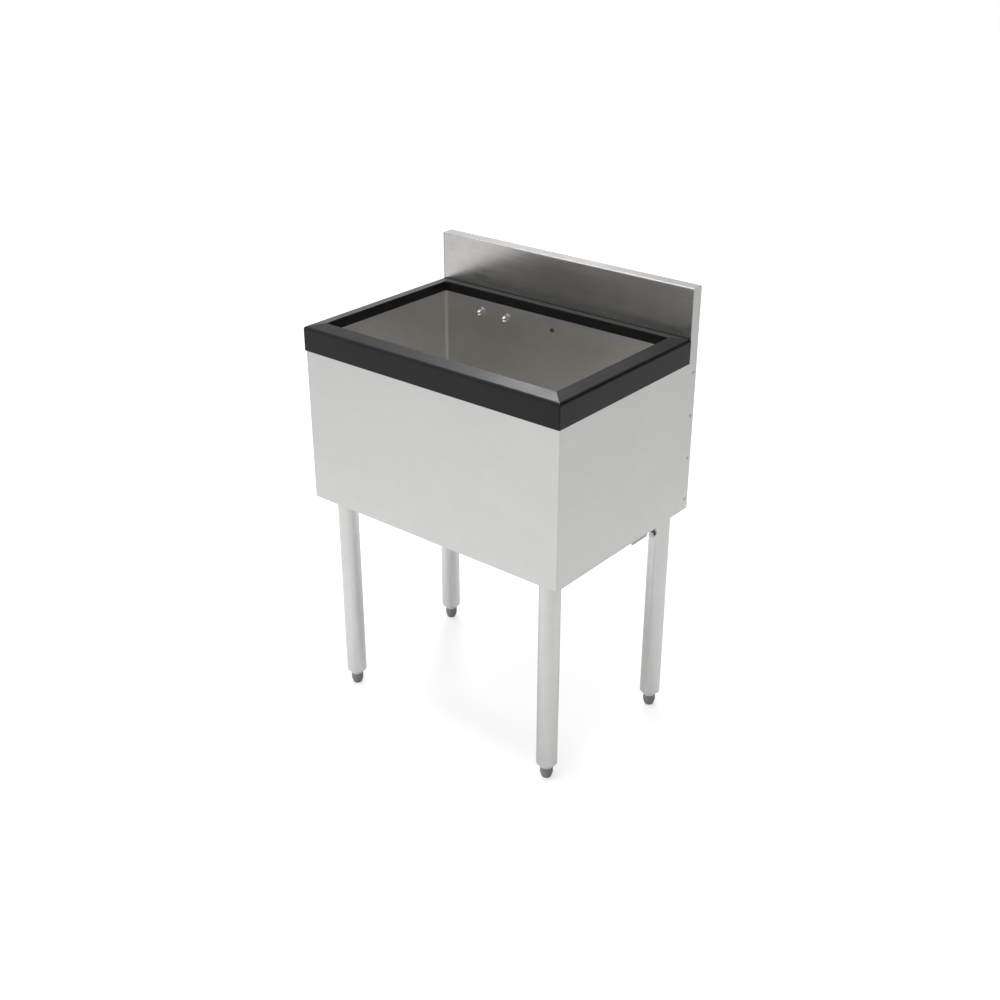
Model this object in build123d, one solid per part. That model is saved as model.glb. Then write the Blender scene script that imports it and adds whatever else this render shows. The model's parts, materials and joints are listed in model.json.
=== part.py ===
from build123d import *
import os

# Underbar ice chest: an insulated stainless box on four tubular legs, with a black moulded
# collar round its mouth and a low backsplash. Sizes are in millimetres.
# X runs to the right as one stands in front of the chest, Y to the back and Z up. The origin is
# on the floor, in the middle of the whole width and depth.

# Cabinet
body_width = 609.6
body_depth = 431.0
body_bottom = 452.5
body_top = 764.5
sheet = 1.2
bend_radius = 1.0
rear_return = 20.0
pan_flange = 10.0
panel_flange_gap = 2.0

# Backsplash
splash_top = 910.1
splash_depth = 28.5
splash_recess = 4.0
splash_rear_flange = 40.0
splash_foot = 15.0
rear_panel_lap = 18.0

# Moulded collar
collar_side_proud = 0.9
collar_front_proud = 3.2
collar_edge_height = 47.8
collar_crest_rise = 5.8
collar_rail = 32.0
collar_back_rail = 33.7
collar_wall = 3.0
collar_foot = 13.0
collar_rib_inset = 20.0
collar_lip_drop = 19.9
collar_edge_radius = 6.0
collar_crest_radius = 1.2
collar_corner_radius = 2.0
collar_mouth_radius = 4.0

# Ice tub
liner_setback = 1.2
liner_flange = 12.0
liner_corner_radius = 6.5
liner_cove_radius = 6.0
flange_gap = 1.4
floor_insulation = 33.0
floor_rise_across = 6.0
floor_rise_forward = 4.0
floor_trim = 20.0

# Drain
drain_side_inset = 56.0
drain_back_inset = 56.0
drain_recess_radius = 42.0
drain_recess_depth = 4.0
drain_pipe_radius = 16.7
drain_pipe_wall = 3.4
drain_pipe_drop = 45.0
drain_spout_radius = 16.0
drain_spout_length = 28.0
drain_flange_radius = 38.0
drain_flange_thickness = 2.0
drain_gasket_thickness = 1.5
drain_nut_flats = 50.0
drain_nut_height = 9.0
drain_washer_radius = 27.0
drain_edge_radius = 1.0
strainer_radius = 31.0
strainer_cup_depth = 9.0
strainer_wall = 0.9
strainer_rim_slope = 1.0
strainer_hole_radius = 1.3
strainer_hole_rings = ((1, 0.0), (6, 4.5), (12, 9.0))

# Cap nuts on studs in the tub's back wall, and the sensor hole
stud_places = (-178.0, -112.0)
wall_depth_below_crest = 46.5
wall_stud_radius = 3.1
wall_stud_length = 10.0
stud_plate_border = 15.0
stud_plate_height = 24.0
stud_plate_thickness = 2.0
wall_washer_radius = 9.5
wall_washer_thickness = 1.6
cap_nut_flats = 11.0
cap_nut_hex = 5.5
cap_nut_height = 11.5
cap_nut_dome = 5.2
sensor_place = 3.5
sensor_tube_radius = 6.0
sensor_bore_radius = 4.5

# Legs
leg_radius = 20.65
leg_wall = 1.65
leg_bottom = 34.0
leg_end_radius = 1.2
front_leg_side_inset = 46.3
front_leg_inset = 43.4
rear_leg_side_inset = 27.0
rear_leg_inset = 55.1

# Brackets that hold the legs
bracket_plate = 3.0
bracket_border = 38.0
bracket_reach = 104.0
bracket_half_width = 38.0
bracket_edge_gap = 4.0
bracket_corner = 6.0
spigot_length = 56.0
spigot_wall = 5.0
spigot_chamfer = 2.0
gusset_thickness = 3.0
gusset_stand_off = 24.0
gusset_length = 55.0
gusset_height = 28.4
gusset_corner = 4.0
bracket_screw_inset = 9.0
bracket_screw_radius = 3.0
bracket_screw_length = 9.0
bracket_screw_flats = 10.0
bracket_screw_head = 4.0
bracket_screw_well = 1.0
set_screw_drop = 34.0
set_screw_radius = 4.0
set_screw_flats = 11.0
set_screw_head = 8.0
set_screw_bite = 10.0

# Levelling feet
foot_radius = 12.7
foot_height = 24.5
foot_sole_radius = 9.5
foot_sole_edge = 1.2
foot_flats = 23.0
foot_flats_height = 9.0
foot_flats_step = 2.0
foot_socket_depth = 16.0
foot_shoulder = 1.5
foot_boss_radius = 13.2
foot_boss_height = 9.0
insert_length = 30.0
stud_radius = 6.35
stud_length = 58.0
stud_chamfer = 1.0

# Rivets that hold the rear panel
rivet_inset = 11.0
rivet_first = 22.0
rivet_pitch = 89.0
rivet_count = 4
rivet_radius = 2.0
rivet_head_radius = 3.4
rivet_head_height = 0.7

# Clearances
seat = 0.2
hole_gap = 0.3
thread_gap = 0.05
cut = 1.0  # how far a cutter runs past the faces that it opens

# Levels and faces worked out from the sizes above
half = body_width / 2
front = -(body_depth - collar_front_proud) / 2
rear = front + body_depth
splash_front = rear - splash_depth
splash_face = splash_front + splash_recess
rear_panel_back = rear - sheet - seat
rear_panel_front = rear_panel_back - sheet
collar_edge = body_top + collar_edge_height
collar_crest = collar_edge + collar_crest_rise
collar_lip = collar_crest - collar_lip_drop
collar_half = half + collar_side_proud
collar_front = front - collar_front_proud
collar_back = splash_face - seat
mouth_half = collar_half - collar_rail
mouth_front = collar_front + collar_rail
mouth_back = collar_back - collar_back_rail
top_flange = collar_rail - collar_front_proud - liner_setback - sheet - liner_flange - flange_gap
tub_half = mouth_half + liner_setback
tub_front = mouth_front - liner_setback
tub_back = mouth_back + liner_setback
liner_top = collar_lip - seat
floor_low = body_bottom + sheet + floor_insulation + sheet + drain_recess_depth
recess_floor = floor_low - drain_recess_depth
drain_x = tub_half - drain_side_inset
drain_y = tub_back - drain_back_inset
wall_z = collar_crest - wall_depth_below_crest
washer_face = tub_back - seat - wall_washer_thickness
plate_front = tub_back + sheet + seat
bracket_top = body_bottom - seat
bracket_bottom = bracket_top - bracket_plate
spigot_radius = leg_radius - leg_wall - seat
gusset_top = bracket_bottom - seat
stud_bottom = foot_height - foot_socket_depth + hole_gap

legs = {
    "front_left": (-(half - front_leg_side_inset), front + front_leg_inset, 1),
    "front_right": (half - front_leg_side_inset, front + front_leg_inset, 1),
    "rear_left": (-(half - rear_leg_side_inset), rear - rear_leg_inset, -1),
    "rear_right": (half - rear_leg_side_inset, rear - rear_leg_inset, -1),
}


def block(x, y, z):
    """A box between two limits on each axis."""
    middle = Pos((x[0] + x[1]) / 2, (y[0] + y[1]) / 2, (z[0] + z[1]) / 2)
    return middle * Box(x[1] - x[0], y[1] - y[0], z[1] - z[0])


def rod(x, y, z, radius):
    """An upright cylinder between two heights."""
    return Pos(x, y, (z[0] + z[1]) / 2) * Cylinder(radius, z[1] - z[0])


def rod_along_y(x, y, z, radius):
    """A level cylinder that runs front to back between two places."""
    return Pos(x, (y[0] + y[1]) / 2, z) * Rot(90, 0, 0) * Cylinder(radius, y[1] - y[0])


def hex_prism(flats, height):
    """A hexagonal prism with its base at zero, sized across its flats."""
    return extrude(RegularPolygon(flats / 2, 6, major_radius=False), height)


def bent_sheet(plane, points, length):
    """A sheet bent along an open path, with the sheet to the left of the path."""
    path = FilletPolyline(*points, radius=bend_radius + sheet)
    outline = offset(path, amount=sheet, side=Side.LEFT)
    return extrude(plane * make_face(outline), length)


def rounded_plan(x_half, y, z, radius):
    """A level face with rounded corners, from y[0] to y[1] at height z."""
    plan = Rectangle(2 * x_half, y[1] - y[0])
    if radius > 0:
        plan = fillet(plan.vertices(), radius)
    return Pos(0, (y[0] + y[1]) / 2, z) * plan


def collar_limits(inset):
    """Half width and limits in Y at an inset from the collar's outer faces."""
    back = inset * collar_back_rail / collar_rail
    return collar_half - inset, (collar_front + inset, collar_back - back)


def collar_core(inset, z, radius=0):
    """All that lies inside an inset from the collar's outer faces."""
    x, y = collar_limits(inset)
    return extrude(rounded_plan(x, y, z[0], radius), z[1] - z[0])


def collar_roof(outer, inner, edge, crest):
    """The solid under a top that slopes up from one inset to another."""
    rims = []
    for inset, z in ((outer, edge), (inner, crest)):
        x, y = collar_limits(inset)
        rims.append(rounded_plan(x, y, z, 0))
    return loft(rims, ruled=True)


def make_collar():
    """One moulded frame: skirt, sloping top and a lip that hangs inside the tub."""
    solid = collar_core(0, (body_top + seat, collar_edge))
    solid += collar_roof(0, collar_rail, collar_edge, collar_crest)
    rim = solid.edges().filter_by_position(Axis.Z, collar_edge - 0.01, collar_edge + 0.01)
    outside = [edge for edge in rim if edge.center().Y < collar_back - 1]
    solid = fillet(outside, collar_edge_radius)
    upright = [edge for edge in solid.edges().filter_by(Axis.Z) if edge.center().Y < 0]
    solid = fillet(upright, collar_corner_radius)

    drop = collar_wall * collar_crest_rise / collar_rail
    under_edge = collar_edge - collar_wall + drop
    under_crest = collar_crest - collar_wall - drop
    lip_back = collar_rail - collar_wall
    foot_top = body_top + seat + collar_wall
    hollow = collar_roof(collar_wall, lip_back, under_edge, under_crest)
    hollow += collar_core(collar_wall, (foot_top, under_edge))
    hollow -= collar_core(lip_back, (collar_lip, collar_crest))
    rib = collar_core(collar_rib_inset, (collar_lip, collar_crest))
    hollow -= rib - collar_core(collar_rib_inset + collar_wall, (collar_lip, collar_crest))
    solid -= hollow
    solid -= collar_core(collar_foot, (body_top - cut, foot_top))
    heights = (body_top - cut, collar_crest + cut)
    solid -= collar_core(collar_rail, heights, collar_mouth_radius)

    crest = solid.edges().filter_by_position(Axis.Z, collar_crest - 0.01, collar_crest + 0.01)
    solid = fillet(crest, collar_crest_radius)
    for side in (-1, 1):
        ear = sorted((side * (half - sheet - seat), side * (collar_half + cut)))
        solid -= block(ear, (splash_front - seat, collar_back + cut), heights)
    relief = bend_radius + sheet + seat
    foot = (body_top - cut, body_top + relief)
    solid -= block((-collar_half, collar_half), (collar_back - relief, collar_back + cut), foot)
    width = sensor_tube_radius + hole_gap
    beside = (sensor_place - width, sensor_place + width)
    solid -= block(beside, (collar_back - collar_rail / 2, rear), (body_top - cut, wall_z))
    return solid - sensor_passage()


def make_outer_wrap():
    """Front and sides folded from one sheet, with ears that close the backsplash's ends."""
    path = [
        (half - rear_return, rear),
        (half, rear),
        (half, front),
        (-half, front),
        (-half, rear),
        (-(half - rear_return), rear),
    ]
    wrap = bent_sheet(Plane.XY, path[::-1], body_top - body_bottom)
    wrap = Pos(0, 0, body_bottom) * wrap
    bend = bend_radius + sheet
    for side in (-1, 1):
        skin = sorted((side * (half - sheet), side * half))
        wrap += block(skin, (splash_front, rear - bend), (body_top - sheet, splash_top))
    flange_plan = rounded_plan(half, (front, rear), body_top - sheet, bend)
    inner = rounded_plan(half - top_flange, (front + top_flange, rear + cut), body_top - sheet, 0)
    flange = extrude(flange_plan - inner, sheet)
    level = (body_top - sheet - cut, body_top + cut)
    flange -= block((-half, half), (splash_front - seat, rear + cut), level)
    wrap += flange
    for side in (-1, 1):
        for z in rivet_heights():
            wrap -= Pos(side * half, rear - rivet_inset, z) * Rot(0, 90, 0) * rivet_hole()
    return wrap


def rivet_heights():
    """Heights of one column of rivets."""
    return [body_bottom + rivet_first + i * rivet_pitch for i in range(rivet_count)]


def rivet_hole():
    """The hole that a rivet passes, long enough for both sheets."""
    return Cylinder(rivet_radius + thread_gap, 8 * sheet)


def make_rivets():
    """Domed rivets through the sides and the rear panel's flanges."""
    grip = 2 * sheet + seat
    rivets = []
    for side in (-1, 1):
        for z in rivet_heights():
            shank = Pos(0, 0, -grip / 2) * Cylinder(rivet_radius, grip + 2 * seat)
            height = rivet_head_height - seat
            dome = Pos(0, 0, seat + height / 2) * Cone(rivet_head_radius, rivet_radius, height)
            tail = Pos(0, 0, -grip - seat - height / 2) * Cylinder(rivet_head_radius, height)
            rivet = Rot(0, side * 90, 0) * (shank + dome + tail)
            rivets.append(Pos(side * half, rear - rivet_inset, z) * rivet)
    return rivets


def make_rear_panel():
    """Back sheet with side flanges folded forward inside the cabinet's sides."""
    edge = half - sheet - seat
    depth = rivet_inset * 2
    path = [
        (edge, rear_panel_back - depth),
        (edge, rear_panel_back),
        (-edge, rear_panel_back),
        (-edge, rear_panel_back - depth),
    ]
    low = body_bottom + pan_flange + panel_flange_gap
    high = body_top - sheet - panel_flange_gap
    panel = Pos(0, 0, low) * bent_sheet(Plane.XY, path, high - low)
    width = edge - bend_radius - sheet
    top = splash_top - splash_rear_flange + rear_panel_lap
    panel += block((-width, width), (rear_panel_front, rear_panel_back), (body_bottom + seat, top))
    panel -= sensor_passage()
    for side in (-1, 1):
        for z in rivet_heights():
            panel -= Pos(side * half, rear - rivet_inset, z) * Rot(0, 90, 0) * rivet_hole()
    return panel


def sensor_passage():
    """The hole that the sensor's sleeve passes, from the tub to the back."""
    y = (mouth_back - cut, rear + cut)
    return rod_along_y(sensor_place, y, wall_z, sensor_tube_radius + hole_gap)


def make_bottom_panel():
    """Bottom pan with its front and side edges turned up inside the cabinet."""
    edge = half - sheet - seat
    near = front + sheet + seat
    far = rear_panel_front - seat
    high = body_bottom + pan_flange
    corner = bend_radius + sheet
    outside = rounded_plan(edge, (near, far), body_bottom, corner)
    inside = rounded_plan(edge - sheet, (near + sheet, far), body_bottom + sheet, bend_radius)
    pan = extrude(outside, high - body_bottom) - extrude(inside, high)
    pan -= block((-edge, edge), (far - sheet, far + cut), (body_bottom + sheet, high + cut))
    pan -= rod(drain_x, drain_y, (body_bottom - cut, high), drain_pipe_radius + hole_gap)
    for x, y in bracket_screw_places():
        pan -= rod(x, y, (body_bottom - cut, high), bracket_screw_radius + hole_gap)
    return pan


def tub_space(grow, top):
    """The space in the tub with a floor pitched to the drain, grown by a wall or a clearance."""
    y = (tub_front - grow, tub_back + grow)
    below = recess_floor - floor_trim
    plan = rounded_plan(tub_half + grow, y, below, liner_corner_radius + grow)
    space = extrude(plan, top - below)
    across = Vector(-2 * tub_half, 0, floor_rise_across)
    forward = Vector(0, tub_front - tub_back, floor_rise_forward)
    normal = forward.cross(across).normalized()
    if normal.Z < 0:
        normal = normal * -1
    level = Vector(drain_x, drain_y, floor_low) - normal * grow
    space = split(space, bisect_by=Plane(origin=level, z_dir=normal), keep=Keep.TOP)
    floor = space.faces().sort_by(Axis.Z)[0]
    space = fillet(floor.edges(), liner_cove_radius + grow)
    low = recess_floor - grow
    return space + rod(drain_x, drain_y, (low, floor_low + floor_trim), drain_recess_radius + grow)


def make_liner():
    """Welded tub with coved corners, a pitched floor, a drain recess and a top flange."""
    liner = tub_space(sheet, liner_top) - tub_space(0, liner_top + cut)
    outer = sheet + liner_flange
    y = (tub_front - outer, tub_back + outer)
    plan = rounded_plan(tub_half + outer, y, liner_top - sheet, liner_corner_radius)
    mouth = (tub_front, tub_back)
    plan -= rounded_plan(tub_half, mouth, liner_top - sheet, liner_corner_radius)
    liner += extrude(plan, sheet)
    liner -= rod(drain_x, drain_y, (body_bottom, floor_low), drain_pipe_radius + hole_gap)
    liner -= sensor_passage()
    for x in stud_places:
        y = (tub_back - cut, plate_front)
        liner -= rod_along_y(x, y, wall_z, wall_stud_radius + hole_gap)
    return liner


def make_insulation():
    """Foam poured between the cabinet and the tub, with a curb under the tub's flange."""
    edge = half - 2 * sheet - 2 * seat
    near = front + 2 * sheet + 2 * seat
    far = rear_panel_front - seat
    low = body_bottom + sheet + seat
    high = body_top - sheet - seat
    foam = extrude(rounded_plan(edge, (near, far), low, bend_radius + seat), high - low)
    curb = sheet + liner_flange
    y = (tub_front - curb, tub_back + curb)
    foam += block((-tub_half - curb, tub_half + curb), y, (high, liner_top - sheet - seat))
    for side in (-1, 1):
        flange = sorted((side * (edge - 2 * sheet), side * (edge + cut)))
        foam -= block(flange, (far - 2 * rivet_inset, far + cut), (low, high))
    foam -= tub_space(sheet + seat, liner_top + cut)
    foam -= rod(drain_x, drain_y, (low - cut, floor_low), drain_pipe_radius + hole_gap)
    foam -= sensor_passage()
    foam -= stud_plate(seat)
    for x, y in bracket_screw_places():
        tip = body_bottom + bracket_screw_length
        foam -= rod(x, y, (low - cut, tip), bracket_screw_radius + hole_gap)
    return foam


def make_backsplash():
    """Folded splash: foot, face, top and rear flange, with end flanges behind the ears."""
    edge = half - sheet - seat
    path = [
        (splash_face - splash_foot, body_top),
        (splash_face, body_top),
        (splash_face, splash_top),
        (rear, splash_top),
        (rear, splash_top - splash_rear_flange),
    ]
    plane = Plane(origin=(-edge, 0, 0), x_dir=(0, 1, 0), z_dir=(1, 0, 0))
    splash = bent_sheet(plane, path[::-1], 2 * edge)
    bend = bend_radius + sheet
    depth = (splash_face + sheet / 2, rear_panel_front - 2 * seat)
    for side in (-1, 1):
        end = sorted((side * (edge - sheet), side * edge))
        splash += block(end, depth, (body_top + 2 * bend, splash_top - 2 * bend))
        beside = sorted((side * (half - top_flange - seat), side * half))
        level = (body_top - sheet - cut, body_top + cut)
        splash -= block(beside, (front, splash_front), level)
    return splash - sensor_passage()


def stud_plate(grow):
    """The backing plate behind the tub's wall, grown by a clearance."""
    border = stud_plate_border + grow
    x = (stud_places[0] - border, stud_places[-1] + border)
    y = (plate_front - grow, plate_front + stud_plate_thickness + grow)
    tall = stud_plate_height / 2 + grow
    return block(x, y, (wall_z - tall, wall_z + tall))


def make_stud_plate():
    """Backing plate with studs welded on, which come forward through the tub's wall."""
    plate = stud_plate(0)
    for x in stud_places:
        y = (plate_front - wall_stud_length, plate_front + stud_plate_thickness / 2)
        plate += rod_along_y(x, y, wall_z, wall_stud_radius)
    return plate


def make_wall_washers():
    """Flat washers under the cap nuts."""
    washers = []
    for x in stud_places:
        washer = rod_along_y(x, (washer_face, tub_back - seat), wall_z, wall_washer_radius)
        hole = (washer_face - cut, tub_back)
        washers.append(washer - rod_along_y(x, hole, wall_z, wall_stud_radius + hole_gap))
    return washers


def make_cap_nuts():
    """Domed cap nuts on the studs, inside the tub."""
    nuts = []
    base = washer_face - seat
    bottom = plate_front - wall_stud_length - hole_gap
    for x in stud_places:
        crown = Pos(0, 0, cap_nut_height - cap_nut_dome) * Sphere(cap_nut_dome)
        neck = rod(0, 0, (0, cap_nut_height - cap_nut_dome), cap_nut_dome)
        nut = hex_prism(cap_nut_flats, cap_nut_hex) + neck + crown
        nut = Pos(x, base, wall_z) * Rot(90, 0, 0) * nut
        nuts.append(nut - rod_along_y(x, (bottom, base + cut), wall_z, wall_stud_radius + thread_gap))
    return nuts


def make_sensor_sleeve():
    """A plain sleeve behind the small hole in the middle of the tub's back wall."""
    sleeve = rod_along_y(sensor_place, (tub_back, rear_panel_back), wall_z, sensor_tube_radius)
    bore = (tub_back - cut, rear_panel_back + cut)
    return sleeve - rod_along_y(sensor_place, bore, wall_z, sensor_bore_radius)


def make_drain_gasket():
    """Rubber ring under the drain's flange."""
    high = recess_floor + seat + drain_gasket_thickness
    ring = rod(drain_x, drain_y, (recess_floor + seat, high), drain_flange_radius)
    hole = drain_pipe_radius + hole_gap
    return ring - rod(drain_x, drain_y, (recess_floor - cut, high + cut), hole)


def make_drain_body():
    """Flanged drain pipe that runs through the floor, the foam and the bottom pan."""
    low = recess_floor + 2 * seat + drain_gasket_thickness
    top = low + drain_flange_thickness
    body = rod(drain_x, drain_y, (low, top), drain_flange_radius)
    body = fillet(body.edges().group_by(Axis.Z)[-1], drain_edge_radius)
    bottom = body_bottom - drain_pipe_drop
    shoulder = bottom + drain_spout_length
    inside = low + drain_flange_thickness / 4
    body += rod(drain_x, drain_y, (bottom, inside), drain_spout_radius)
    body += rod(drain_x, drain_y, (shoulder, inside), drain_pipe_radius)
    bore = drain_pipe_radius - drain_pipe_wall
    body -= rod(drain_x, drain_y, (bottom - cut, top + cut), bore)
    cup = drain_pipe_radius + 4 * seat
    body -= rod(drain_x, drain_y, (top - drain_flange_thickness / 2, top + cut), cup)
    end = body.edges().filter_by_position(Axis.Z, bottom - 0.01, bottom + 0.01)
    return chamfer(end.sort_by(SortBy.RADIUS)[-1], drain_edge_radius)


def make_drain_washer():
    """Washer between the bottom pan and the drain's nut."""
    z = (body_bottom - seat - drain_gasket_thickness, body_bottom - seat)
    ring = rod(drain_x, drain_y, z, drain_washer_radius)
    return ring - rod(drain_x, drain_y, (z[0] - cut, z[1] + cut), drain_pipe_radius + hole_gap)


def make_drain_nut():
    """Hexagonal nut under the bottom pan that holds the drain."""
    top = body_bottom - 2 * seat - drain_gasket_thickness
    nut = Pos(drain_x, drain_y, top - drain_nut_height) * hex_prism(drain_nut_flats, drain_nut_height)
    hole = drain_pipe_radius + thread_gap
    return nut - rod(drain_x, drain_y, (top - drain_nut_height - cut, top + cut), hole)


def make_strainer():
    """Pressed cup with a turned rim that drops into the drain, pierced in rings."""
    rest = recess_floor + 2 * seat + drain_gasket_thickness + drain_flange_thickness + seat
    bore = drain_pipe_radius - drain_pipe_wall
    wall = strainer_wall
    slope = strainer_rim_slope
    cup = bore - 2 * seat
    low = rest - strainer_cup_depth
    profile = Polyline(
        (0, low),
        (cup, low),
        (cup, rest),
        (strainer_radius - slope, rest),
        (strainer_radius, rest + wall / 2),
        (strainer_radius - 2 * slope, rest + 2 * wall),
        (cup - wall, rest + wall),
        (cup - wall, low + wall),
        (0, low + wall),
        close=True,
    )
    strainer = Pos(drain_x, drain_y, 0) * revolve(Plane.XZ * make_face(profile), Axis.Z)
    for count, radius in strainer_hole_rings:
        for place in PolarLocations(radius, count):
            hole = place * Cylinder(strainer_hole_radius, 4 * wall)
            strainer -= Pos(drain_x, drain_y, low) * hole
    return strainer


def make_leg(name):
    """Tubular leg that slides up over its spigot and is pinned by a set screw."""
    x, y, inward = legs[name]
    tube = rod(x, y, (leg_bottom, bracket_bottom - seat), leg_radius)
    tube = fillet(tube.edges().group_by(Axis.Z)[0], leg_end_radius)
    tube -= rod(x, y, (leg_bottom - cut, bracket_bottom + cut), leg_radius - leg_wall)
    return tube - set_screw_hole(x, y, inward)


def set_screw_hole(x, y, inward):
    """The radial hole for a leg's set screw, on the side that faces the gusset."""
    outer = y + inward * (leg_radius + cut)
    inner = y + inward * (spigot_radius - set_screw_bite)
    span = sorted((outer, inner))
    return rod_along_y(x, span, bracket_bottom - set_screw_drop, set_screw_radius + hole_gap)


def bracket_plan(name):
    """Limits in X and Y of the plate that holds a leg."""
    x, y, inward = legs[name]
    x_half = min(half - sheet - bracket_edge_gap - abs(x), bracket_half_width)
    y_limits = sorted((y - inward * bracket_border, y + inward * bracket_reach))
    return (x - x_half, x + x_half), y_limits


def bracket_screw_places():
    """Where the screws of all four leg brackets go."""
    places = []
    for name in legs:
        x_limits, y_limits = bracket_plan(name)
        for x in (x_limits[0] + bracket_screw_inset, x_limits[1] - bracket_screw_inset):
            for y in (y_limits[0] + bracket_screw_inset, y_limits[1] - bracket_screw_inset):
                places.append((x, y))
    return places


def make_bracket(name):
    """Plate with a spigot that plugs into the leg."""
    x, y, inward = legs[name]
    x_limits, y_limits = bracket_plan(name)
    plate = block(x_limits, y_limits, (bracket_bottom, bracket_top))
    plate = fillet(plate.edges().filter_by(Axis.Z), bracket_corner)
    low = bracket_bottom - spigot_length
    spigot = rod(x, y, (low, bracket_bottom + cut), spigot_radius)
    spigot = chamfer(spigot.edges().group_by(Axis.Z)[0], spigot_chamfer)
    bracket = plate + spigot
    bracket -= rod(x, y, (low - cut, bracket_bottom - spigot_wall), spigot_radius - spigot_wall)
    bracket -= set_screw_hole(x, y, inward)
    for sx in (x_limits[0] + bracket_screw_inset, x_limits[1] - bracket_screw_inset):
        for sy in (y_limits[0] + bracket_screw_inset, y_limits[1] - bracket_screw_inset):
            z = (bracket_bottom - cut, bracket_top + cut)
            bracket -= rod(sx, sy, z, bracket_screw_radius + hole_gap)
    return bracket


def make_gusset(name):
    """Upright web on the bracket's plate, clear of the set screw."""
    x, y, inward = legs[name]
    near = leg_radius + gusset_stand_off
    far = near + gusset_length
    low = gusset_top - gusset_height
    outline = Polyline((near, gusset_top), (near, low), (far, low), (far, gusset_top), close=True)
    origin = (x - inward * gusset_thickness / 2, y, 0)
    plane = Plane(origin=origin, x_dir=(0, inward, 0), z_dir=(inward, 0, 0))
    web = extrude(plane * make_face(outline), gusset_thickness)
    return chamfer(web.edges().filter_by(Axis.X).group_by(Axis.Z)[0], gusset_corner)


def make_bracket_screws():
    """Hexagon screws that hold the leg brackets to the bottom pan."""
    screws = []
    for x, y in bracket_screw_places():
        low = bracket_bottom - seat - bracket_screw_head
        head = Pos(x, y, low) * hex_prism(bracket_screw_flats, bracket_screw_head)
        tip = body_bottom + bracket_screw_length - bracket_screw_well
        screws.append(head + rod(x, y, (low + cut, tip), bracket_screw_radius))
    return screws


def make_set_screws():
    """Hexagon set screws that pin the legs to their spigots."""
    screws = []
    for x, y, inward in legs.values():
        face = leg_radius + seat
        shank = Pos(0, 0, face - set_screw_bite) * Cylinder(
            set_screw_radius, set_screw_bite + cut, align=(Align.CENTER, Align.CENTER, Align.MIN))
        screw = Pos(0, 0, face) * hex_prism(set_screw_flats, set_screw_head) + shank
        turned = Rot(-inward * 90, 0, 0) * screw
        screws.append(Pos(x, y, bracket_bottom - set_screw_drop) * turned)
    return screws


def make_foot_insert(name):
    """Plug pressed into the leg's end, threaded for the levelling stud."""
    x, y, _ = legs[name]
    top = leg_bottom + insert_length
    plug = rod(x, y, (leg_bottom + cut, top), leg_radius - leg_wall - seat)
    plug += rod(x, y, (leg_bottom - foot_boss_height, leg_bottom + 2 * cut), foot_boss_radius)
    z = (leg_bottom - foot_boss_height - cut, top + cut)
    return plug - rod(x, y, z, stud_radius + thread_gap)


def make_stud(name):
    """Threaded stud that screws up into the leg."""
    x, y, _ = legs[name]
    stud = rod(x, y, (stud_bottom, stud_bottom + stud_length), stud_radius)
    return chamfer(stud.edges().group_by(Axis.Z)[-1], stud_chamfer)


def make_foot(name):
    """Bullet foot: a turned body that tapers, through wrench flats, to a flat sole."""
    x, y, _ = legs[name]
    line = Polyline(
        (0, 0),
        (foot_sole_radius - foot_sole_edge, 0),
        (foot_sole_radius, foot_sole_edge),
        (foot_radius, foot_flats_height + foot_flats_step),
        (foot_radius, foot_height - foot_shoulder),
        (foot_radius - foot_shoulder, foot_height),
        (stud_radius + thread_gap, foot_height),
        (stud_radius + thread_gap, foot_height - foot_socket_depth),
        (0, foot_height - foot_socket_depth),
        close=True,
    )
    body = revolve(Plane.XZ * make_face(line), Axis.Z)
    flats = hex_prism(foot_flats, foot_flats_height)
    around = (-foot_radius - cut, foot_radius + cut)
    waist = block(around, around, (foot_flats_height, foot_height + cut))
    return Pos(x, y, 0) * (body & (flats + waist))


def build():
    """Every piece by its node name."""
    pieces = {
        "outer_wrap": make_outer_wrap(),
        "rear_panel": make_rear_panel(),
        "bottom_panel": make_bottom_panel(),
        "rear_panel_rivets": make_rivets(),
        "ice_liner": make_liner(),
        "foam_insulation": make_insulation(),
        "collar": make_collar(),
        "backsplash": make_backsplash(),
        "stud_plate": make_stud_plate(),
        "wall_washers": make_wall_washers(),
        "cap_nuts": make_cap_nuts(),
        "sensor_sleeve": make_sensor_sleeve(),
        "drain_gasket": make_drain_gasket(),
        "drain_body": make_drain_body(),
        "drain_washer": make_drain_washer(),
        "drain_nut": make_drain_nut(),
        "drain_strainer": make_strainer(),
        "bracket_screws": make_bracket_screws(),
        "leg_set_screws": make_set_screws(),
    }
    for name in legs:
        pieces[f"leg_bracket_{name}"] = make_bracket(name)
        pieces[f"leg_gusset_{name}"] = make_gusset(name)
        pieces[f"leg_{name}"] = make_leg(name)
        pieces[f"foot_insert_{name}"] = make_foot_insert(name)
        pieces[f"levelling_stud_{name}"] = make_stud(name)
        pieces[f"foot_{name}"] = make_foot(name)
    return pieces


os.makedirs("parts", exist_ok=True)
for node, piece in build().items():
    shape = Compound(children=piece) if isinstance(piece, list) else piece
    export_step(shape, f"parts/{node}.step")
    print(node)
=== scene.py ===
import json
import math

import bmesh
import bpy
from mathutils import Matrix, Vector


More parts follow.
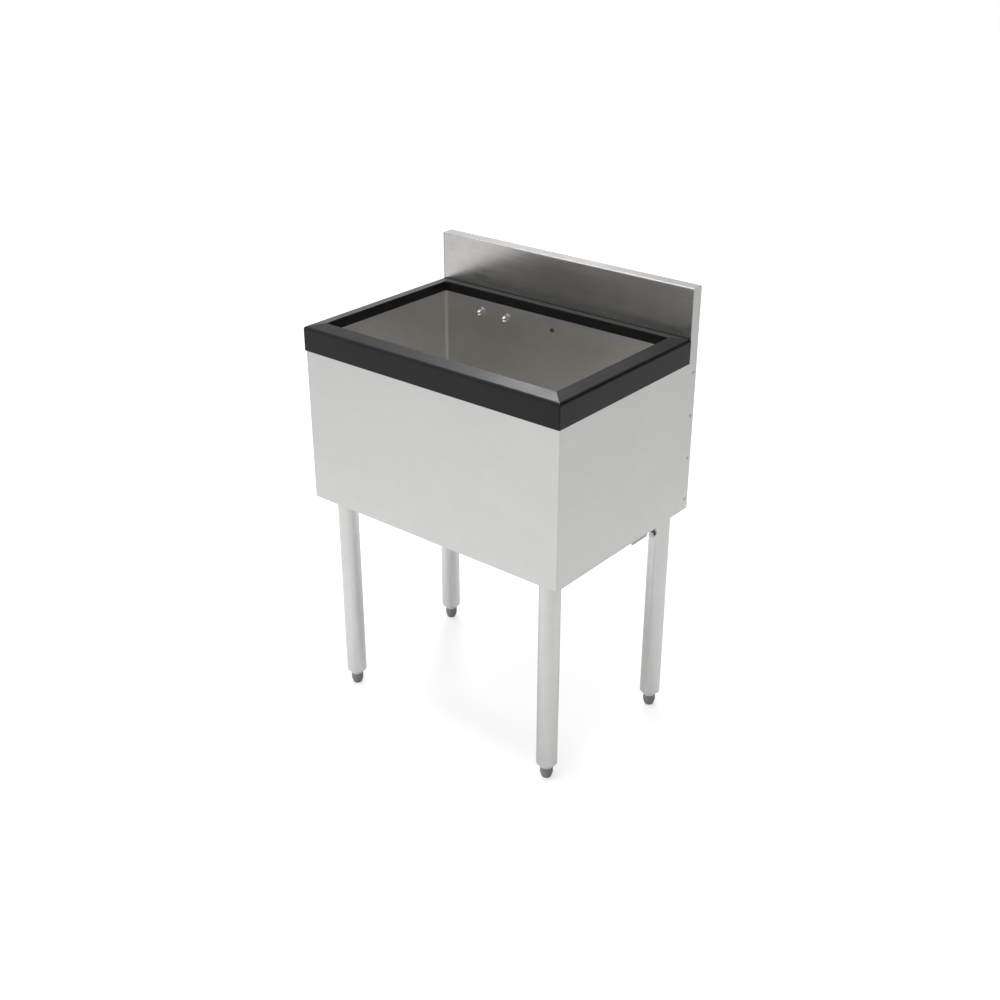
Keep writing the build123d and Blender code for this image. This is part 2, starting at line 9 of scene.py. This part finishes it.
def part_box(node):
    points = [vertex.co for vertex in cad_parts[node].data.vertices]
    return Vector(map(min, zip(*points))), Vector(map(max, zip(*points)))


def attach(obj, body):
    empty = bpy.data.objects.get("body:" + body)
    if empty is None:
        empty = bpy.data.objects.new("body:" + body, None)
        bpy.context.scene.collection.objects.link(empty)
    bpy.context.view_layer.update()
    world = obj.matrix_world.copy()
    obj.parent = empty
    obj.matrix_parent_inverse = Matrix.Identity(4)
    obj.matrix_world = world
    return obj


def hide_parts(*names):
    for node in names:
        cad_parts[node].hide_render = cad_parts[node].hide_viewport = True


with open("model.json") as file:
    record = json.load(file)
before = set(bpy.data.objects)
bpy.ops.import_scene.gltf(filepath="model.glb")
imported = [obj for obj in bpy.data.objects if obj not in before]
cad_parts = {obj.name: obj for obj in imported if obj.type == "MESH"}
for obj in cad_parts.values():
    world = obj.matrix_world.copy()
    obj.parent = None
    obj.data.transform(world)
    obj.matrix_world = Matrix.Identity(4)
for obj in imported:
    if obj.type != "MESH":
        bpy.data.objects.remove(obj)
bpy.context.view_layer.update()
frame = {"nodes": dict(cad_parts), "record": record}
print("frame loaded:", len(frame["nodes"]), "nodes")

# Camera, solved from the photograph's straight edges
cameraView = {
    "place": (1.5141, -1.8556, 1.6555),  # metres, in the part's frame
    "azimuth": 39.183,                   # degrees, 0 looks along +Y
    "elevation": 26.604,
    "roll": 0.055,
    "focal": 1334.8,                     # pixels, for an image 1000 wide
    "image": 1000.0,
    "sensor": 36.0,                      # millimetres
    "near": 0.05,
    "far": 60.0,
}


def addCamera(view):
    data = bpy.data.cameras.new("camera")
    data.sensor_width = view["sensor"]
    data.lens = view["focal"] * view["sensor"] / view["image"]
    data.clip_start = view["near"]
    data.clip_end = view["far"]
    camera = bpy.data.objects.new("camera", data)
    bpy.context.collection.objects.link(camera)
    azimuth = math.radians(view["azimuth"])
    elevation = math.radians(view["elevation"])
    level = math.cos(elevation)
    back = Vector((math.sin(azimuth) * level, -math.cos(azimuth) * level, math.sin(elevation)))
    turn = (-back).to_track_quat("-Z", "Y").to_matrix()
    roll = Matrix.Rotation(math.radians(view["roll"]), 3, "Z")
    camera.matrix_world = Matrix.Translation(view["place"]) @ (turn @ roll).to_4x4()
    bpy.context.scene.camera = camera


addCamera(cameraView)
print("camera ready")

# Noises, each set by how fine and how rough it is
streakNoise = {"Detail": 3.0, "Roughness": 0.65}
cloudNoise = {"Detail": 4.0, "Roughness": 0.6}
smudgeNoise = {"Detail": 3.0, "Roughness": 0.55}
plateNoise = {"Detail": 4.0, "Roughness": 0.5}
grainNoise = {"Detail": 3.0, "Roughness": 0.6}
flowNoise = {"Detail": 4.0, "Roughness": 0.55}
noiseSpan = (0.3, 0.7)    # where most of a noise's values lie
plateSpan = (0.25, 0.75)  # the same for spangled zinc

# What the materials share
sideFacing = 0.7                             # a side face's normal leans this far along X
foldFacing = 0.985                           # a normal this near an axis is well into a fold
smudgeStretch = (1.0, 1.0, 1.4)
acrossBrushing = {"X": 0.0, "Y": 0.1, "Z": 1.0}
grainRough = 0.04                            # roughness that a plastic's grain adds
cellShare = 0.5                              # share of the spangle in zinc's tone
bevelSamples = 4


# Node helpers
def newMaterial(name):
    material = bpy.data.materials.new(name)
    material.use_nodes = True
    material.node_tree.nodes.clear()
    return material, material.node_tree


def addNode(tree, kind, settings=None, inputs=None):
    node = tree.nodes.new(kind)
    for key, value in (settings or {}).items():
        setattr(node, key, value)
    for key, value in (inputs or {}).items():
        if isinstance(value, bpy.types.NodeSocket):
            tree.links.new(value, node.inputs[key])
        else:
            node.inputs[key].default_value = value
    return node


def mathNode(tree, operation, *values):
    inputs = {index: value for index, value in enumerate(values)}
    return addNode(tree, "ShaderNodeMath", {"operation": operation}, inputs).outputs[0]


def blend(tree, first, second, share):
    return mathNode(tree, "ADD", mathNode(tree, "MULTIPLY", first, share),
                    mathNode(tree, "MULTIPLY", second, 1.0 - share))


def scaled(tree, vector, scale):
    return addNode(tree, "ShaderNodeMapping", None, {"Vector": vector, "Scale": scale}).outputs[0]


def noiseNode(tree, vector, scale, kind):
    inputs = dict(kind, Vector=vector, Scale=scale)
    return addNode(tree, "ShaderNodeTexNoise", None, inputs).outputs["Fac"]


def rangeNode(tree, value, low, high):
    inputs = {"Value": value, "From Min": noiseSpan[0], "From Max": noiseSpan[1],
              "To Min": low, "To Max": high}
    return addNode(tree, "ShaderNodeMapRange", None, inputs).outputs["Result"]


def grey(level, tint=(1.0, 1.0, 1.0)):
    return (level * tint[0], level * tint[1], level * tint[2], 1.0)


def toneRamp(tree, factor, look, span=noiseSpan):
    node = addNode(tree, "ShaderNodeValToRGB", None, {"Fac": factor})
    levels = (look["level"] * (1.0 - look["contrast"]), look["level"] * (1.0 + look["contrast"]))
    for element, place, level in zip(node.color_ramp.elements, span, levels):
        element.position = place
        element.color = grey(level, look["tint"])
    return node.outputs["Color"]


def bumpNode(tree, height, look):
    radius = {"Radius": look["edge"]}
    edge = addNode(tree, "ShaderNodeBevel", {"samples": bevelSamples}, radius)
    return addNode(tree, "ShaderNodeBump", None, {
        "Strength": look["bump"], "Distance": look["depth"], "Height": height,
        "Normal": edge.outputs[0]}).outputs[0]


def endMaterial(tree, shader):
    addNode(tree, "ShaderNodeOutputMaterial", None, {"Surface": shader.outputs[0]})


# Coordinates whose first axis runs along the brushing: along X, or along Y on the side faces
def brushVector(tree, spots):
    place = addNode(tree, "ShaderNodeSeparateXYZ", None, {0: spots["Object"]})
    facing = addNode(tree, "ShaderNodeSeparateXYZ", None, {0: spots["Normal"]})
    leaning = mathNode(tree, "ABSOLUTE", facing.outputs["X"])
    side = mathNode(tree, "GREATER_THAN", leaning, sideFacing)
    turned = {"X": place.outputs["Y"], "Y": place.outputs["X"], "Z": place.outputs["Z"]}
    across = addNode(tree, "ShaderNodeCombineXYZ", None, turned).outputs[0]
    inputs = {0: side, 4: spots["Object"], 5: across}  # factor, A and B of a vector mix
    return addNode(tree, "ShaderNodeMix", {"data_type": "VECTOR"}, inputs).outputs[1]


# Share of a fold in a surface: 0 on a flat face along an axis, 1 on a bend
def foldShare(tree, spots):
    leaning = addNode(tree, "ShaderNodeVectorMath", {"operation": "ABSOLUTE"}, {0: spots["Normal"]})
    parts = addNode(tree, "ShaderNodeSeparateXYZ", None, {0: leaning.outputs[0]}).outputs
    largest = mathNode(tree, "MAXIMUM", mathNode(tree, "MAXIMUM", parts[0], parts[1]), parts[2])
    inputs = {"Value": largest, "From Min": 1.0, "From Max": foldFacing}
    return addNode(tree, "ShaderNodeMapRange", None, inputs).outputs["Result"]


def brushedSteel(name, look):
    material, tree = newMaterial(name)
    spots = addNode(tree, "ShaderNodeTexCoord").outputs
    along = scaled(tree, brushVector(tree, spots), look["grain"])
    streaks = noiseNode(tree, along, 1.0, streakNoise)
    clouds = noiseNode(tree, spots["Object"], look["clouds"], cloudNoise)
    smeared = scaled(tree, spots["Object"], smudgeStretch)
    smudge = noiseNode(tree, smeared, look["smudges"], smudgeNoise)
    rough = mathNode(tree, "ADD", rangeNode(tree, streaks, *look["rough"]),
                     rangeNode(tree, smudge, 0.0, look["smudgeRough"]))
    if "foldDull" in look:
        rough = mathNode(tree, "MULTIPLY_ADD", foldShare(tree, spots), look["foldDull"], rough)
    across = addNode(tree, "ShaderNodeCombineXYZ", None, acrossBrushing)
    shader = addNode(tree, "ShaderNodeBsdfPrincipled", None, {
        "Base Color": toneRamp(tree, blend(tree, streaks, clouds, look["streakShare"]), look),
        "Metallic": 1.0, "Roughness": rough, "Anisotropic": look.get("stretch", 0.0),
        "Tangent": across.outputs[0], "Normal": bumpNode(tree, streaks, look)})
    endMaterial(tree, shader)
    return material


def platedSteel(name, look):
    material, tree = newMaterial(name)
    spots = addNode(tree, "ShaderNodeTexCoord").outputs
    cells = addNode(tree, "ShaderNodeTexVoronoi", None, {
        "Vector": spots["Object"], "Scale": look["spangle"]})
    noise = noiseNode(tree, spots["Object"], look["clouds"], plateNoise)
    shade = addNode(tree, "ShaderNodeSeparateColor", None, {0: cells.outputs["Color"]})
    tone = blend(tree, shade.outputs[0], noise, cellShare)
    shader = addNode(tree, "ShaderNodeBsdfPrincipled", None, {
        "Base Color": toneRamp(tree, tone, look, plateSpan), "Metallic": look["metallic"],
        "Roughness": rangeNode(tree, tone, *look["rough"]),
        "Normal": bumpNode(tree, noise, look)})
    endMaterial(tree, shader)
    return material


def mouldedPlastic(name, look):
    material, tree = newMaterial(name)
    spots = addNode(tree, "ShaderNodeTexCoord").outputs
    grain = noiseNode(tree, spots["Object"], look["grain"], grainNoise)
    flow = noiseNode(tree, spots["Object"], look["clouds"], flowNoise)
    rough = mathNode(tree, "ADD", rangeNode(tree, flow, *look["rough"]),
                     rangeNode(tree, grain, 0.0, grainRough))
    shader = addNode(tree, "ShaderNodeBsdfPrincipled", None, {
        "Base Color": toneRamp(tree, flow, look), "Metallic": 0.0, "Roughness": rough,
        "Specular IOR Level": look["specular"], "Normal": bumpNode(tree, grain, look)})
    endMaterial(tree, shader)
    return material


# Finishes, one dictionary each: "grain", "clouds", "smudges" and "spangle" are scales of the
# textures, "rough" is a range, and "depth" and "edge" are in metres
warm = (1.0, 0.98, 0.96)
sheetLook = {"level": 0.6, "tint": (1.0, 0.995, 0.98), "grain": (5.0, 900.0, 900.0),
             "clouds": 26.0, "smudges": 7.0, "streakShare": 0.65, "contrast": 0.035,
             "rough": (0.25, 0.32), "smudgeRough": 0.04, "bump": 0.06, "depth": 0.00003,
             "stretch": 0.4, "edge": 0.0005}
splashLook = dict(sheetLook, level=0.58, tint=(1.0, 0.98, 0.955), grain=(8.0, 420.0, 420.0),
                  rough=(0.2, 0.24), smudgeRough=0.045, streakShare=0.6, contrast=0.12,
                  foldDull=0.35)
linerLook = {"level": 0.75, "tint": warm, "grain": (4.0, 700.0, 700.0),
             "clouds": 20.0, "smudges": 6.0, "streakShare": 0.5, "contrast": 0.06,
             "rough": (0.26, 0.36), "smudgeRough": 0.06, "bump": 0.1, "depth": 0.00006,
             "edge": 0.0004}
legLook = {"level": 0.625, "tint": (1.0, 0.995, 0.985), "grain": (25.0, 25.0, 1500.0),
           "clouds": 40.0, "smudges": 12.0, "streakShare": 0.6, "contrast": 0.04,
           "rough": (0.24, 0.32), "smudgeRough": 0.05, "bump": 0.05, "depth": 0.00003,
           "edge": 0.0004}
fittingLook = {"level": 0.66, "tint": (1.0, 0.98, 0.95), "grain": (500.0, 900.0, 500.0),
               "clouds": 120.0, "smudges": 60.0, "streakShare": 0.6, "contrast": 0.05,
               "rough": (0.24, 0.34), "smudgeRough": 0.04, "bump": 0.06, "depth": 0.00003,
               "edge": 0.0004}
fastenerLook = {"level": 0.5, "tint": (1.0, 0.99, 0.96), "grain": (600.0, 600.0, 600.0),
                "clouds": 150.0, "smudges": 60.0, "streakShare": 0.5, "contrast": 0.12,
                "rough": (0.3, 0.42), "smudgeRough": 0.06, "bump": 0.1, "depth": 0.00004,
                "edge": 0.0003}
plateLook = {"level": 0.42, "tint": (0.97, 0.99, 1.02), "spangle": 95.0, "clouds": 90.0,
             "contrast": 0.14, "rough": (0.34, 0.5), "bump": 0.15, "depth": 0.0002,
             "metallic": 0.85, "edge": 0.0004}
bracketLook = {"level": 0.45, "tint": (1.0, 0.99, 0.95), "spangle": 180.0, "clouds": 160.0,
               "contrast": 0.12, "rough": (0.3, 0.45), "bump": 0.15, "depth": 0.0002,
               "metallic": 0.9, "edge": 0.0005}
collarLook = {"level": 0.009, "tint": (1.0, 1.0, 0.99), "grain": 1400.0, "clouds": 14.0,
              "contrast": 0.14, "rough": (0.28, 0.35), "bump": 0.1, "depth": 0.00008,
              "specular": 0.25, "edge": 0.0006}
footLook = {"level": 0.3, "tint": (1.0, 1.0, 1.0), "grain": 1800.0, "clouds": 90.0,
            "contrast": 0.12, "rough": (0.35, 0.5), "bump": 0.15, "depth": 0.0001,
            "specular": 0.45, "edge": 0.0005}
insertLook = {"level": 0.9, "tint": (1.0, 1.0, 0.99), "grain": 1600.0, "clouds": 80.0,
              "contrast": 0.06, "rough": (0.4, 0.5), "bump": 0.1, "depth": 0.00008,
              "specular": 0.4, "edge": 0.0004}
sealLook = {"level": 0.03, "tint": (1.0, 1.0, 1.0), "grain": 900.0, "clouds": 70.0,
            "contrast": 0.15, "rough": (0.55, 0.7), "bump": 0.2, "depth": 0.0001,
            "specular": 0.3, "edge": 0.0004}
foamLook = {"level": 0.72, "tint": (1.0, 0.93, 0.7), "grain": 500.0, "clouds": 30.0,
            "contrast": 0.08, "rough": (0.8, 0.95), "bump": 0.5, "depth": 0.0004,
            "specular": 0.2, "edge": 0.001}

# By material slot, or by node where one node has its own
finishes = {
    "cabinet_steel": brushedSteel("brushedSheet", sheetLook),
    "backsplash": brushedSteel("splashSheet", splashLook),
    "liner_steel": brushedSteel("tubSteel", linerLook),
    "leg_steel": brushedSteel("tubeSteel", legLook),
    "fitting_steel": brushedSteel("turnedSteel", fittingLook),
    "fastener_steel": brushedSteel("screwSteel", fastenerLook),
    "rivet_steel": brushedSteel("rivetSteel", fastenerLook),
    "galvanised_steel": platedSteel("galvanisedSheet", plateLook),
    "bracket_steel": platedSteel("zincPlate", bracketLook),
    "black_plastic": mouldedPlastic("blackMoulding", collarLook),
    "grey_plastic": mouldedPlastic("greyMoulding", footLook),
    "insert_plastic": mouldedPlastic("lightMoulding", insertLook),
    "seal_rubber": mouldedPlastic("sealRubber", sealLook),
    "foam": mouldedPlastic("foamSkin", foamLook),
}

for entry in frame["record"]["subparts"]:
    finish = finishes.get(entry["node"], finishes[entry["material_slot"]])
    for socket in frame["nodes"][entry["node"]].material_slots:
        socket.material = finish
print("finishes set:", len(finishes))


# Piece helpers
def meshData(name, mesh, finish):
    data = bpy.data.meshes.new(name)
    mesh.to_mesh(data)
    mesh.free()
    data.materials.append(finish)
    return data


def newPiece(name, data, body="cabinet"):
    piece = bpy.data.objects.new(name, data)
    bpy.context.collection.objects.link(piece)
    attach(piece, body)
    return piece


# Backsplash with its face brought flush with the ears above the collar, as the photograph shows it
flushFace = {
    "shift": 0.0037,   # forward
    "sill": 0.8134,    # below this height, behind the collar, the face stays
    "rise": 0.0006,    # height of the slope between both parts of the face
    "reach": 0.2,      # only what lies in front of this Y moves
    "flat": 0.999,     # a face whose normal is this near an axis is shaded flat
    "merge": 1e-5,
}


def flushSplash(look):
    mesh = bmesh.new()
    mesh.from_mesh(frame["nodes"]["backsplash"].data)
    bmesh.ops.remove_doubles(mesh, verts=mesh.verts, dist=look["merge"])
    top = look["sill"] + look["rise"]
    for level in (look["sill"], top):
        geometry = mesh.verts[:] + mesh.edges[:] + mesh.faces[:]
        bmesh.ops.bisect_plane(mesh, geom=geometry, plane_co=(0, 0, level), plane_no=(0, 0, 1))
    for vert in mesh.verts:
        if vert.co.z > top - look["rise"] / 2 and vert.co.y < look["reach"]:
            vert.co.y -= look["shift"]
    bmesh.ops.recalc_face_normals(mesh, faces=mesh.faces)
    for face in mesh.faces:
        face.smooth = max(abs(part) for part in face.normal) < look["flat"]
    data = meshData("flush_backsplash", mesh, finishes["backsplash"])
    piece = newPiece("flush_backsplash", data)
    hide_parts("backsplash")


flushSplash(flushFace)
print("backsplash set flush")

# Cap nuts, without the empty sliver that each dome's seam leaves in the mesh
nutMesh = {
    "merge": 1e-6,
    "sliver": 1e-13,             # square metres
    "crease": math.radians(25),  # an edge this sharp keeps its corner in the shading
}


def cleanNuts(look):
    mesh = bmesh.new()
    mesh.from_mesh(frame["nodes"]["cap_nuts"].data)
    bmesh.ops.remove_doubles(mesh, verts=mesh.verts, dist=look["merge"])
    slivers = [face for face in mesh.faces if face.calc_area() < look["sliver"]]
    bmesh.ops.delete(mesh, geom=slivers, context="FACES")
    for face in mesh.faces:
        face.smooth = True
    data = meshData("domed_cap_nuts", mesh, finishes["fitting_steel"])
    data.set_sharp_from_angle(angle=look["crease"])
    piece = newPiece("domed_cap_nuts", data)
    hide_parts("cap_nuts")


cleanNuts(nutMesh)
print("cap nuts cleaned")

# Threads of the levelling studs
corners = ("front_left", "front_right", "rear_left", "rear_right")
studThread = {
    "pitch": 0.00195, "depth": 0.0011,
    "around": 28, "perPitch": 4,       # points round the rod and rows in one turn
    "tip": 0.5,                        # share of the depth that the rod's top end loses
}


def threadedRod(low, high, thread):
    radius = (high.x - low.x) / 2
    centre = (low + high) / 2
    rows = round((high.z - low.z) / thread["pitch"] * thread["perPitch"])
    mesh = bmesh.new()
    rings = []
    for row in range(rows + 1):
        z = low.z + (high.z - low.z) * row / rows
        ring = []
        for step in range(thread["around"]):
            turn = step / thread["around"]
            phase = ((z - low.z) / thread["pitch"] - turn) % 1.0
            cut = thread["depth"] * abs(2.0 * phase - 1.0)
            taper = min(1.0, (high.z - z) / thread["pitch"])
            reach = radius - cut - thread["depth"] * (1.0 - taper) * thread["tip"]
            angle = 2.0 * math.pi * turn
            place = (centre.x + reach * math.cos(angle), centre.y + reach * math.sin(angle), z)
            ring.append(mesh.verts.new(place))
        rings.append(ring)
    for lower, upper in zip(rings, rings[1:]):
        for step in range(thread["around"]):
            after = (step + 1) % thread["around"]
            mesh.faces.new((lower[step], lower[after], upper[after], upper[step]))
    mesh.faces.new(list(reversed(rings[0])))
    mesh.faces.new(rings[-1])
    return mesh


for corner in corners:
    name = f"threaded_stud_{corner}"
    low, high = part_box(f"levelling_stud_{corner}")
    data = meshData(name, threadedRod(low, high, studThread), finishes["fastener_steel"])
    rod = newPiece(name, data, f"levelling_foot_{corner}")
    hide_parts(f"levelling_stud_{corner}")
print("threads cut")

# Geometry Nodes helpers: a tree's named inputs are set by their identifiers, and what it makes
# is kept as a plain mesh
socketKinds = {float: "NodeSocketFloat", int: "NodeSocketInt", tuple: "NodeSocketVector",
               bpy.types.Material: "NodeSocketMaterial"}


def newTree(name, values):
    tree = bpy.data.node_groups.new(name, "GeometryNodeTree")
    tree.interface.new_socket("Geometry", in_out="INPUT", socket_type="NodeSocketGeometry")
    for label, value in values.items():
        kind = socketKinds[type(value)]
        tree.interface.new_socket(label, in_out="INPUT", socket_type=kind)
    tree.interface.new_socket("Geometry", in_out="OUTPUT", socket_type="NodeSocketGeometry")
    return tree, tree.nodes.new("NodeGroupInput").outputs


def endTree(tree, geometry, finish):
    whole = addNode(tree, "GeometryNodeRealizeInstances", None, {"Geometry": geometry})
    painted = addNode(tree, "GeometryNodeSetMaterial", None, {
        "Geometry": whole.outputs[0], "Material": finish})
    addNode(tree, "NodeGroupOutput", None, {"Geometry": painted.outputs[0]})


def grownMesh(name, edges, tree, values):
    base = bpy.data.meshes.new(name)
    points = [point for edge in edges for point in edge]
    base.from_pydata(points, [(2 * row, 2 * row + 1) for row in range(len(edges))], [])
    holder = bpy.data.objects.new(name + "_base", base)
    bpy.context.collection.objects.link(holder)
    modifier = holder.modifiers.new(name, "NODES")
    modifier.node_group = tree
    for item in tree.interface.items_tree:
        if item.in_out == "INPUT" and item.name in values:
            modifier[item.identifier] = values[item.name]
    holder.update_tag()
    evaluated = holder.evaluated_get(bpy.context.evaluated_depsgraph_get())
    data = bpy.data.meshes.new_from_object(evaluated)
    data.name = name
    holder.modifiers.remove(modifier)
    bpy.data.objects.remove(holder)
    return data


# Weld beads along both sides of each gusset, where it meets the bracket's plate
weldBead = {
    "Radius": 0.0013, "Step": 0.0004, "Sides": 12,
    "Scale": 700.0, "Detail": 1.0,                  # of the noise that ripples the bead
    "Ripple": 0.3, "Least": 0.85,                   # the bead's swelling, and where it starts
}
weldFit = {"side": 0.0003, "drop": 0.0004, "short": 0.002}  # metres from the gusset's edges


def beadTree(values):
    tree, given = newTree("weldBeads", values)
    line = addNode(tree, "GeometryNodeMeshToCurve", None, {"Mesh": given["Geometry"]})
    path = addNode(tree, "GeometryNodeResampleCurve", {"mode": "LENGTH"}, {
        "Curve": line.outputs[0], "Length": given["Step"]})
    place = addNode(tree, "GeometryNodeInputPosition")
    noise = addNode(tree, "ShaderNodeTexNoise", {"noise_dimensions": "3D"}, {
        "Vector": place.outputs[0], "Scale": given["Scale"], "Detail": given["Detail"]})
    swell = mathNode(tree, "MULTIPLY_ADD", noise.outputs["Fac"], given["Ripple"], given["Least"])
    ring = addNode(tree, "GeometryNodeCurvePrimitiveCircle", None, {
        "Resolution": given["Sides"], "Radius": given["Radius"]})
    bead = addNode(tree, "GeometryNodeCurveToMesh", None, {
        "Curve": path.outputs[0], "Profile Curve": ring.outputs[0], "Scale": swell,
        "Fill Caps": True})
    smooth = addNode(tree, "GeometryNodeSetShadeSmooth", None, {"Geometry": bead.outputs[0]})
    endTree(tree, smooth.outputs[0], given["Finish"])
    return tree


def addWelds(bead, fit):
    edges = []
    for corner in corners:
        low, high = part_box(f"leg_gusset_{corner}")
        z = high.z - fit["drop"]
        for x in (low.x - fit["side"], high.x + fit["side"]):
            edges.append(((x, low.y + fit["short"], z), (x, high.y - fit["short"], z)))
    values = dict(bead, Finish=finishes["bracket_steel"])
    data = grownMesh("gusset_welds", edges, beadTree(values), values)
    newPiece("gusset_welds", data)


addWelds(weldBead, weldFit)
print("welds laid")

# Thread on the drain's pipe, from just below the nut down to the plain spout
pipeThread = {
    "Turns": 3.4, "Radius": 0.01672, "Height": 0.0055, "Ridge": 0.0006,
    "Around": 72, "Sides": 6,  # points in one turn and round the ridge
}
threadGap = 0.0007             # below the nut


def ridgeTree(values):
    tree, given = newTree("pipeThread", values)
    helix = addNode(tree, "GeometryNodeCurveSpiral", None, {
        "Resolution": given["Around"], "Rotations": given["Turns"],
        "Start Radius": given["Radius"], "End Radius": given["Radius"],
        "Height": given["Height"]})
    ridge = addNode(tree, "GeometryNodeCurvePrimitiveCircle", None, {
        "Resolution": given["Sides"], "Radius": given["Ridge"]})
    thread = addNode(tree, "GeometryNodeCurveToMesh", None, {
        "Curve": helix.outputs[0], "Profile Curve": ridge.outputs[0], "Fill Caps": True})
    moved = addNode(tree, "GeometryNodeTransform", None, {
        "Geometry": thread.outputs[0], "Translation": given["Place"]})
    endTree(tree, moved.outputs[0], given["Finish"])
    return tree


def addPipeThread(thread, gap):
    low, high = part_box("drain_nut")
    centre = (low + high) / 2
    place = (centre.x, centre.y, low.z - gap - thread["Height"])
    values = dict(thread, Place=place, Finish=finishes["fitting_steel"])
    data = grownMesh("drain_thread", [], ridgeTree(values), values)
    newPiece("drain_thread", data)


addPipeThread(pipeThread, threadGap)
print("drain threaded")

# Stage: a pale floor, a soft room that is darker at the back right, and two softboxes
stageLook = {
    "floorSize": 40.0, "floorColour": 0.75,
    "cameraGlow": 0.59,                            # brings the floor to white in the picture
    "glossGlow": 0.385, "farGlow": 0.215,          # what metal sees of it, near left and far right
    "glossAxis": (0.7, 0.7, 0.0), "glossReach": 1.2,
    "brightSide": (-0.8, -0.45, 0.4), "roomDark": 0.08, "roomBright": 0.8,
    "shadeFrom": -0.15, "shadeTo": 0.25,
}
boxLook = {"place": (-1.85, 2.15, 3.35), "aim": (0.29, -0.2, 0.81), "size": 0.7, "power": 27.0}
topLook = {"place": (0.0, -0.1, 3.2), "aim": (0.0, 0.0, 0.6), "size": 1.4, "power": 42.0}


# A value that goes from one (place, level) pair to another along an axis
def shadeAcross(tree, vector, axis, start, end):
    dot = {"operation": "DOT_PRODUCT"}
    along = addNode(tree, "ShaderNodeVectorMath", dot, {0: vector, 1: axis}).outputs["Value"]
    inputs = {"Value": along, "From Min": start[0], "From Max": end[0],
              "To Min": start[1], "To Max": end[1]}
    node = addNode(tree, "ShaderNodeMapRange", {"interpolation_type": "SMOOTHSTEP"}, inputs)
    return node.outputs["Result"]


def addFloor(look):
    bpy.ops.mesh.primitive_plane_add(size=look["floorSize"])
    floor = bpy.context.object
    floor.name = "floor"
    material, tree = newMaterial("paleFloor")
    spots = addNode(tree, "ShaderNodeTexCoord").outputs
    gloss = shadeAcross(tree, spots["Object"], look["glossAxis"],
                        (-look["glossReach"], look["glossGlow"]),
                        (look["glossReach"], look["farGlow"]))
    path = addNode(tree, "ShaderNodeLightPath")
    inCamera = mathNode(tree, "MULTIPLY", path.outputs["Is Camera Ray"], look["cameraGlow"])
    inGloss = mathNode(tree, "MULTIPLY", path.outputs["Is Glossy Ray"], gloss)
    glow = mathNode(tree, "ADD", inCamera, inGloss)
    matte = addNode(tree, "ShaderNodeBsdfDiffuse", None, {"Color": grey(look["floorColour"])})
    light = addNode(tree, "ShaderNodeEmission", None, {"Color": grey(1.0), "Strength": glow})
    both = addNode(tree, "ShaderNodeAddShader", None, {0: matte.outputs[0], 1: light.outputs[0]})
    endMaterial(tree, both)
    floor.data.materials.append(material)


def addWorld(look):
    world = bpy.data.worlds.new("studio")
    bpy.context.scene.world = world
    world.use_nodes = True
    tree = world.node_tree
    tree.nodes.clear()
    spots = addNode(tree, "ShaderNodeTexCoord").outputs
    room = shadeAcross(tree, spots["Generated"], look["brightSide"],
                       (look["shadeFrom"], look["roomDark"]), (look["shadeTo"], look["roomBright"]))
    path = addNode(tree, "ShaderNodeLightPath")
    strength = mathNode(tree, "MAXIMUM", room, path.outputs["Is Camera Ray"])
    inputs = {"Color": grey(1.0), "Strength": strength}
    light = addNode(tree, "ShaderNodeBackground", None, inputs)
    addNode(tree, "ShaderNodeOutputWorld", None, {"Surface": light.outputs[0]})


def addSoftbox(name, look):
    data = bpy.data.lights.new(name, "AREA")
    data.shape = "SQUARE"
    data.size = look["size"]
    data.energy = look["power"]
    lamp = bpy.data.objects.new(name, data)
    bpy.context.collection.objects.link(lamp)
    lamp.location = look["place"]
    aim = (Vector(look["aim"]) - Vector(look["place"])).to_track_quat("-Z", "Y")
    lamp.rotation_euler = aim.to_euler()


addFloor(stageLook)
addWorld(stageLook)
addSoftbox("backLeftBox", boxLook)
addSoftbox("topBox", topLook)
print("stage ready")

bpy.context.scene.view_settings.view_transform = "Standard"
